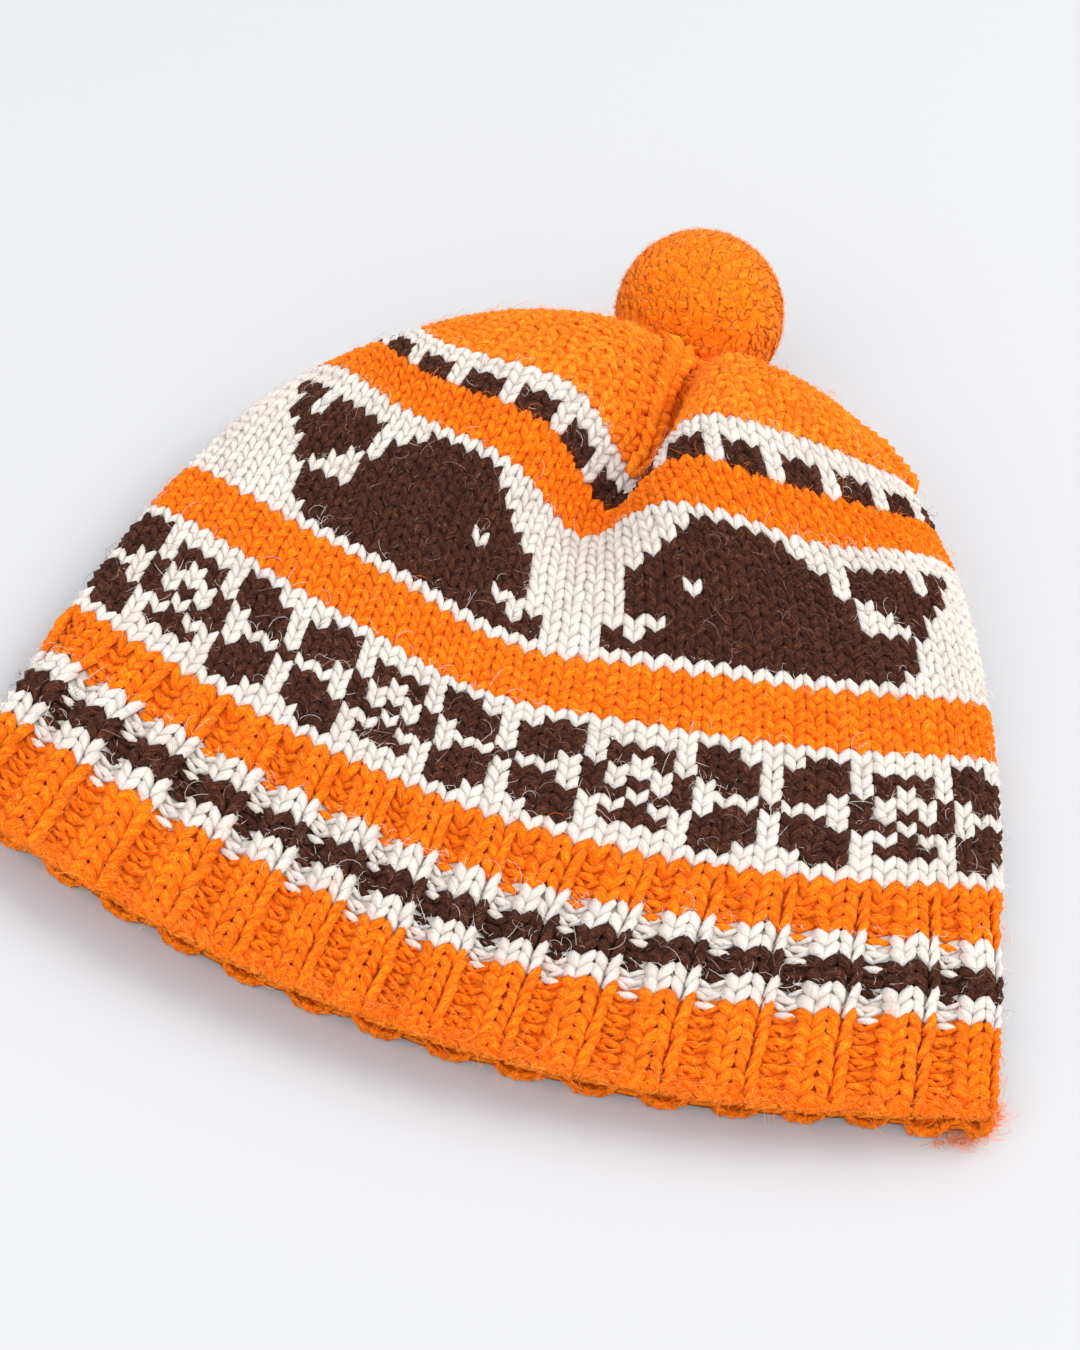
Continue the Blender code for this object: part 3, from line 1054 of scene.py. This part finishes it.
@dataclass
class RibbedBrim(KnitBand):
    """The ribbed border: two knit columns, then a purl column that lies back."""

    stitches_per_rib: int = 3
    rib_depth: float = 2.4
    rib_width: float = 0.70
    rib_end_row: float = 16.5
    rib_fade_rows: float = 2.0
    wall_outside: float = -1.7
    hem_thinning: float = 1.3      # how much thinner the wall is at the hem, in millimetres
    thin_rows: float = 2.0
    scallop: float = 1.6
    scallop_rows: float = 4.0
    purl_offset: float = 0.14      # rows that the purl strokes on the left lie over those on the right
    purl_sway: float = 0.06        # how far a purl stroke strays, in rows
    lower_hem_short: float = 1.3   # rows that the lower layer's hem lies behind the upper one's
    short_from: float = 23.0       # the columns where the hem begins to fall short
    short_blend: float = 6.0
    edge_row: float = -0.1
    edge_width: float = 0.7        # in stitch widths
    edge_step: float = 0.5         # columns from one stroke of the edge to the next
    inner_edge: float = 0.9        # how far the edge's inner strokes lie behind the outer ones

    def valley(self, column: np.ndarray) -> np.ndarray:
        """1 in the middle of a purl column, falling to 0 on the knit columns."""
        half = 0.5 * self.stitches_per_rib
        aside = np.abs((column + half) % self.stitches_per_rib - half)
        return np.exp(-((aside / self.rib_width) ** 2))

    def relief(self, column: np.ndarray, row: np.ndarray) -> np.ndarray:
        """The purl columns lie back."""
        fade = np.clip((self.rib_end_row - row) / self.rib_fade_rows, 0.0, 1.0)
        return -self.rib_depth * fade * self.valley(column)

    def thinning(self, row: np.ndarray) -> np.ndarray:
        """The wall thins out toward the hem."""
        return self.hem_thinning * np.clip(1.0 - row / self.thin_rows, 0.0, 1.0)

    def draw_back(self, column: np.ndarray, row: np.ndarray) -> np.ndarray:
        """The purl columns' feet draw back from the hem."""
        near = np.clip(1.0 - row / self.scallop_rows, 0.0, 1.0)
        below = np.clip((np.abs(centred(column)) - self.short_from) / self.short_blend, 0.0, 1.0)
        scallop = self.scallop / STITCH_SIZE[1] * near * self.valley(column)
        return scallop + self.lower_hem_short * below * near

    def lay_stitches(self, fabric: YarnField, rng: np.random.Generator) -> None:
        """Lays the knit columns, with their raised right legs, and the purl columns."""
        stitches = self.all_stitches()
        place = stitches.columns % self.stitches_per_rib
        ribbed = stitches.rows < self.rib_end_row - 0.5
        purl, ridge = (place == 0) & ribbed, (place == 2) & ribbed
        for leg, mirrored, mask in ((LEG_PATH, False, ~purl & ~ridge), (RIDGE_PATH, False, ridge),
                                    (LEG_PATH, True, ~purl)):
            self.lay(fabric, leg, mirrored, stitches.chosen(mask), rng)
        purls = stitches.chosen(purl)
        for part, mirrored in ((PURL_STROKE_PATH, False), (PURL_STROKE_PATH, True),
                               (PURL_BUMP_PATH, False)):
            sway = rng.normal(0.0, self.purl_sway, len(purls.rows))
            lifted = purls.rows + self.purl_offset * mirrored + sway
            self.lay(fabric, part, mirrored, purls._replace(rows=lifted), rng)

    def edge(self) -> bpy.types.Object:
        """Builds the cast-on edge, a twisted cord of yarn round the hem."""
        rng = np.random.default_rng(self.seed + 1)
        fabric = YarnField("cast_on_edge")
        columns = np.arange(0.0, COLUMNS, self.edge_step)
        count = len(columns)
        strokes = Stitches(np.full(count, self.edge_row), columns, np.full(count, self.edge_width),
                           np.zeros(count, dtype=int))
        self.lay(fabric, EDGE_PATH, False, strokes, rng)
        inner = tuple(bend._replace(height=bend.height - self.inner_edge) for bend in EDGE_PATH)
        self.lay(fabric, inner, True, strokes._replace(columns=columns + 0.5 * self.edge_step), rng)
        item = fabric.build(self.finishes, self.wardrobe)
        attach(item, "root")
        return item

    def build(self) -> list[bpy.types.Object]:
        """Builds the brim with its cast-on edge."""
        return [*super().build(), self.edge()]


@dataclass
class Crown(KnitBand):
    """The zigzag border and the orange top, decreased along four lines to the gathered point."""

    lines: int = 4
    border_stitches: int = 84
    line_at: float = 0.85          # the column of the first decrease line
    decrease_from: int = 54
    fewest: int = 2
    chain_fewest: int = 4          # the chain's stitches get no wider than with this many in a row
    chain_step: float = 1.15       # rows from one stitch of the chain to the next
    wall_outside: float = -0.95
    closing_rows: float = 6.0      # rows over which the wall thins toward the top
    closing_share: float = 0.3     # and what is left of its thickness there
    closed_top: bool = True
    finishes: tuple[WoolFinish, ...] = CROWN_FINISHES

    def between_lines(self, row: float, fewest: int) -> float:
        """Stitches from one decrease line to the next in a row."""
        gone = 2 * ((row - self.decrease_from + 1) // 2)
        return max(self.border_stitches // self.lines - gone, fewest)

    def row_of(self, row: int) -> Stitches:
        """The stitches of a row: the border's, and above it those between the decrease lines."""
        if row < self.decrease_from:
            places = np.arange(self.border_stitches)
            width = COLUMNS / self.border_stitches
            columns, yarns = places * width, self.chart.yarn(row, places)
        else:
            span = COLUMNS / self.lines
            count = self.between_lines(row, self.fewest)
            width = span / count
            inside = self.line_at + 0.5 * span + (np.arange(count - 1) - 0.5 * (count - 2)) * width
            columns = np.concatenate([inside + k * span for k in range(self.lines)])
            yarns = np.zeros(len(columns), dtype=int)
        return Stitches(np.full(len(columns), float(row)), columns, np.full(len(columns), width), yarns)

    def lay_stitches(self, fabric: YarnField, rng: np.random.Generator) -> None:
        """Lays the stitches, and the raised chain along each decrease line."""
        super().lay_stitches(fabric, rng)
        span = COLUMNS / self.lines
        rows = np.arange(self.decrease_from, self.last_row - 1.0, self.chain_step)
        widths = np.array([span / self.between_lines(row, self.chain_fewest) for row in rows])
        for k in range(self.lines):
            columns = np.full(len(rows), self.line_at + k * span)
            for mirrored in (False, True):
                self.lay(fabric, CHAIN_PATH, mirrored,
                         Stitches(rows, columns, widths, np.zeros(len(rows), dtype=int)), rng)

    def skin_height(self, outer: bool, column: np.ndarray, row: np.ndarray) -> np.ndarray:
        """Heights of a skin; the wall thins toward the gathered point."""
        narrowing = np.clip((self.last_row - row) / self.closing_rows, self.closing_share, 1.0)
        return (self.wall_outside if outer else self.wall_inside) * narrowing

    def chart_yarn_at(self, row: float) -> np.ndarray:
        """Yarn of the wall's faces at a row."""
        if row >= self.decrease_from:
            return np.zeros(COLUMNS, dtype=int)
        places = np.arange(COLUMNS) * self.border_stitches // COLUMNS
        return self.chart.yarn(min(int(row), self.decrease_from - 1), places)


@dataclass(frozen=True)
class FibreKind:
    """One kind of loose fibre: how many points it has, how long it is and how it leaves the yarn."""

    name: str
    points: int
    shortest: float
    longest: float
    lift: float                # rise against the way along the yarn
    fall: float                # how much of the rise is gone at the tip
    curl: float                # spread of the turn, in radians
    thickness: float
    taper: float = 0.4         # share of the thickness that is gone at the tip
    lift_spread: float = 0.4   # spread of the lift, as a share of it


FIBRE_CORNERS = (0.0, 2.1, 4.2)    # turns of a fibre's three corners, in radians
CURLS = FibreKind("curls", 6, 2.5, 8.0, 0.70, 1.6, 2.6, 0.050)
DOWN = FibreKind("down", 3, 1.0, 2.6, 0.9, 0.9, 1.2, 0.055)
POMPOM_DOWN = FibreKind("pompom_down", 3, 1.6, 3.4, 0.75, 0.9, 1.2, 0.085)


def fibre_shape(points: int) -> Shape:
    """A three-sided fibre of some points that ends in a tip, whose corners are placed later."""
    last = 3 * (points - 2)
    faces = [(k + s, k + (s + 1) % 3, k + 3 + (s + 1) % 3, k + 3 + s)
             for k in range(0, last, 3) for s in range(3)]
    faces += [(last + s, last + (s + 1) % 3, last + 3) for s in range(3)] + [(2, 1, 0)]
    return Shape(np.zeros((last + 4, 3)), faces, np.full((sum(map(len, faces)), 2), 0.5))


def grown_fibres(kind: FibreKind, start: np.ndarray, normal: np.ndarray,
                 rng: np.random.Generator) -> np.ndarray:
    """Corners of fibres that grow from some places.

    Args:
        kind: The kind of fibre.
        start: The roots, in millimetres.
        normal: The surface's normals there.
        rng: Where the lengths and turns come from.

    Returns:
        The corners of each fibre.
    """
    count = len(start)
    aside = unit(np.cross(normal, rng.normal(size=(count, 3))))
    beside = np.cross(normal, aside)
    step = rng.uniform(kind.shortest, kind.longest, count) / (kind.points - 1)
    turn = rng.normal(0.0, kind.curl, count)
    rise = np.abs(rng.normal(kind.lift, kind.lift_spread * kind.lift, count))
    place = start.copy()
    rings = []
    for k in range(kind.points):
        share = k / (kind.points - 1)
        heading = turn * share
        rise_now = rise * (1.0 - kind.fall * share)
        way = unit(aside * np.cos(heading)[:, None] + beside * np.sin(heading)[:, None]
                   + normal * rise_now[:, None])
        out = np.cross(way, normal)
        out /= np.linalg.norm(out, axis=1, keepdims=True) + 1e-9
        over = np.cross(out, way)
        if k == kind.points - 1:
            rings.append(place)
            break
        radius = kind.thickness * (1.0 - kind.taper * share)
        rings += [place + radius * (out * math.cos(angle) + over * math.sin(angle))
                  for angle in FIBRE_CORNERS]
        place = place + way * step[:, None]
    corners = np.stack(rings, axis=1)
    corners[..., 2] = np.maximum(corners[..., 2], 0.5 * FLOOR_CLEARANCE)
    return corners


@dataclass
class Pompom:
    """A ball of cut yarn: plump felted yarn ends, combed round the ball, over a soft core."""

    wardrobe: Wardrobe
    grain: Shape
    tufts: int = 1250
    fuzz: int = 8800
    swell: float = 1.055           # the ball's radius against the CAD ball's
    lift: tuple[float, float, float] = (-0.3, 0.0, 0.9)
    core: float = 0.950            # the core's radius, as a share of the ball's
    root: float = 0.90             # where a tuft starts
    fuzz_root: float = 0.935       # where a fibre starts
    reach: tuple[float, float] = (0.948, 0.966)     # where a tuft ends
    thickness: float = 1.85
    plumpness: tuple[float, float] = (0.8, 1.25)    # least and most, against the thickness
    comb: float = 0.26             # how far the tufts are combed aside, as a share of the radius
    comb_least: float = 0.55       # and the least of that
    comb_power: float = 1.5        # the higher, the later a tuft bends aside
    stoutness: tuple[float, float] = (0.75, 0.4)    # a tuft's thickness at its root, and its gain
    swirl: tuple[float, float, float] = (0.5, -0.6, 0.62)
    swirl_spread: float = 0.12
    disorder: float = 0.035
    seed: int = 71

    def __post_init__(self) -> None:
        """Measures the ball."""
        low, high = (np.array(corner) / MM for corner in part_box("pompom"))
        self.centre = 0.5 * (low + high) + np.array(self.lift)
        self.radius = 0.5 * float((high - low).mean()) * self.swell

    def ways(self, count: int, rng: np.random.Generator) -> np.ndarray:
        """Unit ways spread evenly over the ball, with a little disorder."""
        share = (np.arange(count) + 0.5) / count
        level = 1.0 - 2.0 * share
        turn = math.pi * (3.0 - math.sqrt(5.0)) * np.arange(count)
        flat = np.sqrt(1.0 - level**2)
        way = np.stack([flat * np.cos(turn), flat * np.sin(turn), level], axis=1)
        return unit(way + rng.normal(0.0, self.disorder, way.shape))

    def ball(self) -> bpy.types.Object:
        """Builds the core with its tufts, which stand for the CAD node."""
        rng = np.random.default_rng(self.seed)
        way = self.ways(self.tufts, rng)
        side = np.cross(way, np.array(self.swirl)) + rng.normal(0.0, self.swirl_spread, way.shape)
        side = unit(side - way * (side * way).sum(axis=1, keepdims=True))
        over = np.cross(way, side)
        start = self.radius * self.root
        across, above, t = self.grain.corners.T
        end = self.radius * rng.uniform(*self.reach, self.tufts)[:, None]
        combed = rng.uniform(self.comb_least, 1.0, self.tufts)[:, None]
        aside = self.comb * self.radius * combed * t[None] ** self.comb_power
        plump = rng.uniform(*self.plumpness, self.tufts)[:, None]
        width = self.thickness * plump * (self.stoutness[0] + self.stoutness[1] * t[None])
        distance = start + (end - start) * np.sin(0.5 * math.pi * t)
        inward = np.sqrt(np.maximum(distance**2 - aside**2, 0.0))
        corners = (self.centre + way[:, None] * inward[..., None]
                   + side[:, None] * (aside + width * across)[..., None]
                   + over[:, None] * (width * above)[..., None])
        tufts = YarnField("pompom_tufts")
        tufts.add(self.grain, corners, np.zeros(self.tufts, dtype=int), rng.uniform(0.0, 1.0, self.tufts))
        item = tufts.build((POMPOM_WOOL,), self.wardrobe)
        bpy.ops.object.select_all(action="DESELECT")
        bpy.ops.mesh.primitive_ico_sphere_add(subdivisions=5, radius=self.radius * self.core * MM,
                                              location=self.centre * MM)
        core = bpy.context.object
        bpy.ops.object.transform_apply(location=True)
        core.name = "pompom_core"
        core.data.materials.append(self.wardrobe.get(POMPOM_WOOL))
        bpy.ops.object.shade_smooth()
        for piece in (item, core):
            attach(piece, "root")
        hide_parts("pompom")
        return item

    def haze(self) -> bpy.types.Object:
        """Builds the soft fibres round the ball."""
        rng = np.random.default_rng(self.seed + 1)
        way = self.ways(self.fuzz, rng)
        start = self.centre + way * self.radius * self.fuzz_root
        fuzz = YarnField(POMPOM_DOWN.name)
        fuzz.add(fibre_shape(POMPOM_DOWN.points), grown_fibres(POMPOM_DOWN, start, way, rng),
                 np.zeros(self.fuzz, dtype=int), rng.uniform(0.0, 1.0, self.fuzz))
        item = fuzz.build((POMPOM_FIBRE_BRIGHTENED,), self.wardrobe)
        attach(item, "root")
        return item

    def build(self) -> list[bpy.types.Object]:
        """Builds the ball and its haze."""
        return [self.ball(), self.haze()]


@dataclass
class WoolHalo:
    """Loose fibres that stand off the upper layer's yarn: long curly ones and a short down."""

    surface: FabricSurface
    wardrobe: Wardrobe
    bands: list[KnitBand]
    curls: int = 4400
    down: int = 17000
    hem_share: float = 0.17        # share of the fibres that grow on the hem
    hem_rows: tuple[float, float] = (-0.4, 0.7)
    hem_columns: float = 25.0      # the hem's fibres grow no further from its middle
    hem_ways: tuple[float, float] = (0.5, 0.8)      # shares of the normal and of the way out
    last_row: float = 74.0
    root: float = -0.4             # where a fibre starts, against the fabric's face, in millimetres
    spare: int = 3                 # places tried for each fibre that is kept
    lowest_normal: float = -0.35   # fibres grow where the fabric faces up, or nearly so
    seed: int = 91

    def yarn_at(self, column: np.ndarray, row: np.ndarray) -> np.ndarray:
        """Yarn of the fabric at some places."""
        table = np.array([band.chart_yarn_at(float(whole)) for band in self.bands
                          for whole in range(band.first_row, band.last_row)])
        return table[np.maximum(row, 0.0).astype(int), np.round(column).astype(int) % COLUMNS]

    def fibres(self, kind: FibreKind, count: int, seed: int) -> bpy.types.Object:
        """Builds many fibres of one kind.

        Args:
            kind: The kind.
            count: How many.
            seed: Seed of their places.

        Returns:
            The object.
        """
        rng = np.random.default_rng(seed)
        tried = self.spare * count
        column = rng.uniform(0.0, COLUMNS, tried)
        row = rng.uniform(0.0, self.last_row, tried)
        at_hem = rng.uniform(0.0, 1.0, tried) < self.hem_share
        row = np.where(at_hem, rng.uniform(*self.hem_rows, tried), row)
        _, normal = self.surface.place(column, row, np.zeros(tried))
        upper = np.abs(centred(column)) < self.hem_columns
        seen = np.flatnonzero(np.where(at_hem, upper, normal[:, 2] > self.lowest_normal))[:count]
        upward, outward = self.hem_ways
        hemward = unit(upward * normal + np.array([0.0, -outward, 0.0]))
        normal = np.where(at_hem[:, None], hemward, normal)
        column, row, normal = column[seen], row[seen], normal[seen]
        start, _ = self.surface.place(column, row, np.full(len(seen), self.root))
        halo = YarnField(kind.name)
        corners = grown_fibres(kind, start, normal, rng)
        halo.add(fibre_shape(kind.points), corners, self.yarn_at(column, row),
                 rng.uniform(0.0, 1.0, len(seen)))
        item = halo.build(FIBRE_FINISHES, self.wardrobe)
        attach(item, "root")
        return item

    def build(self) -> list[bpy.types.Object]:
        """Builds the curls and the down."""
        return [self.fibres(CURLS, self.curls, self.seed), self.fibres(DOWN, self.down, self.seed + 1)]


class Light(NamedTuple):
    """A square soft light aimed at the cap; its place and side are metres, its power watts."""

    name: str
    place: tuple[float, float, float]
    side: float
    power: float
    colour: Colour


LIGHTS = (
    Light("key_light", (1.5, 0.8, 1.9), 1.6, 52.0, (1.0, 0.99, 0.97)),
    Light("fill_light", (-0.5, -1.7, 1.3), 2.4, 44.0, (0.95, 0.97, 1.0)),
)


@dataclass
class Studio:
    """The floor, the lights and the camera."""

    target: tuple[float, float, float] = (-0.2, -47.3, 18.0)
    distance: float = 510.0
    azimuth: float = 3.0
    elevation: float = 44.0
    roll: float = 15.0
    focal_pixels: float = 2200.0
    picture: tuple[int, int] = (1080, 1350)
    principal: tuple[float, float] = (543.0, 716.0)
    floor_size: float = 6.0
    floor_colour: Colour = (0.484, 0.486, 0.492)
    world_colour: Colour = (0.95, 0.96, 1.0)
    world_strength: float = 0.98
    sensor: float = 36.0           # millimetres

    def camera(self) -> None:
        """Places the camera at the photograph's angle."""
        azimuth, elevation, roll = (math.radians(v) for v in (self.azimuth, self.elevation, self.roll))
        back = Vector((math.sin(azimuth) * math.cos(elevation), -math.cos(azimuth) * math.cos(elevation),
                       math.sin(elevation)))
        level = Vector((math.cos(azimuth), math.sin(azimuth), 0.0))
        upright = back.cross(level)
        right = level * math.cos(roll) + upright * math.sin(roll)
        up = upright * math.cos(roll) - level * math.sin(roll)
        turn = Matrix((right, up, back)).transposed().to_4x4()
        place = (Vector(self.target) + back * self.distance) * MM
        lens = bpy.data.cameras.new("camera")
        width, height = self.picture
        lens.sensor_width = self.sensor
        lens.lens = self.focal_pixels * self.sensor / height
        lens.shift_x = (0.5 * width - self.principal[0]) / height
        lens.shift_y = (self.principal[1] - 0.5 * height) / height
        lens.clip_start = 0.01
        item = linked("camera", lens)
        item.matrix_world = Matrix.Translation(place) @ turn
        bpy.context.scene.camera = item

    def area_light(self, light: Light) -> None:
        """Hangs a light."""
        lamp = bpy.data.lights.new(light.name, "AREA")
        lamp.size = light.side
        lamp.energy = light.power
        lamp.color = light.colour
        item = linked(light.name, lamp)
        item.location = light.place
        item.rotation_euler = (-Vector(light.place)).to_track_quat("-Z", "Y").to_euler()

    def floor(self) -> None:
        """Lays the pale floor."""
        bpy.ops.object.select_all(action="DESELECT")
        bpy.ops.mesh.primitive_plane_add(size=self.floor_size)
        item = bpy.context.object
        item.name = "floor"
        material = bpy.data.materials.new("floor_paper")
        Graph(material).fix({"Base Color": (*self.floor_colour, 1.0), "Roughness": 0.9,
                             "Specular IOR Level": 0.1})
        item.data.materials.append(material)

    def build(self) -> None:
        """Sets up the whole studio."""
        self.floor()
        for light in LIGHTS:
            self.area_light(light)
        world = bpy.data.worlds.new("studio_world")
        world.use_nodes = True
        background = world.node_tree.nodes["Background"]
        background.inputs["Color"].default_value = (*self.world_colour, 1.0)
        background.inputs["Strength"].default_value = self.world_strength
        scene = bpy.context.scene
        scene.world = world
        scene.view_settings.view_transform = "Standard"
        scene.view_settings.look = "None"
        self.camera()


def main() -> None:
    """Builds the cap and its studio."""
    logging.basicConfig(level=logging.INFO, format="%(name)s: %(message)s")
    surface = FabricSurface()
    wardrobe = Wardrobe()
    grain = YarnGrain().shape()
    floor_grain = YarnGrain(sides=4, profile=((0.0, 0.5), (0.5, 1.0), (1.0, 0.5))).shape()
    shared = {"surface": surface, "wardrobe": wardrobe, "grain": grain, "floor_grain": floor_grain}
    bands = [
        RibbedBrim("brim", "ribbed_brim", "orange_wool", 0, 17, BRIM_CHART, seed=11, **shared),
        KnitBand("flower_band", "flower_band", "patterned_wool", 17, 33, FLOWER_CHART, seed=22, **shared),
        KnitBand("whale_band", "whale_band", "brown_wool", 33, 50, WHALE_CHART, seed=33, **shared),
        Crown("crown", "crown", "crown_wool", 50, 76, BORDER_CHART, seed=44, **shared),
    ]
    for part in (*bands, Pompom(wardrobe, grain), WoolHalo(surface, wardrobe, bands)):
        log.info("%s: %s", type(part).__name__, ", ".join(piece.name for piece in part.build()))
    Studio().build()


if __name__ == "__main__":
    main()
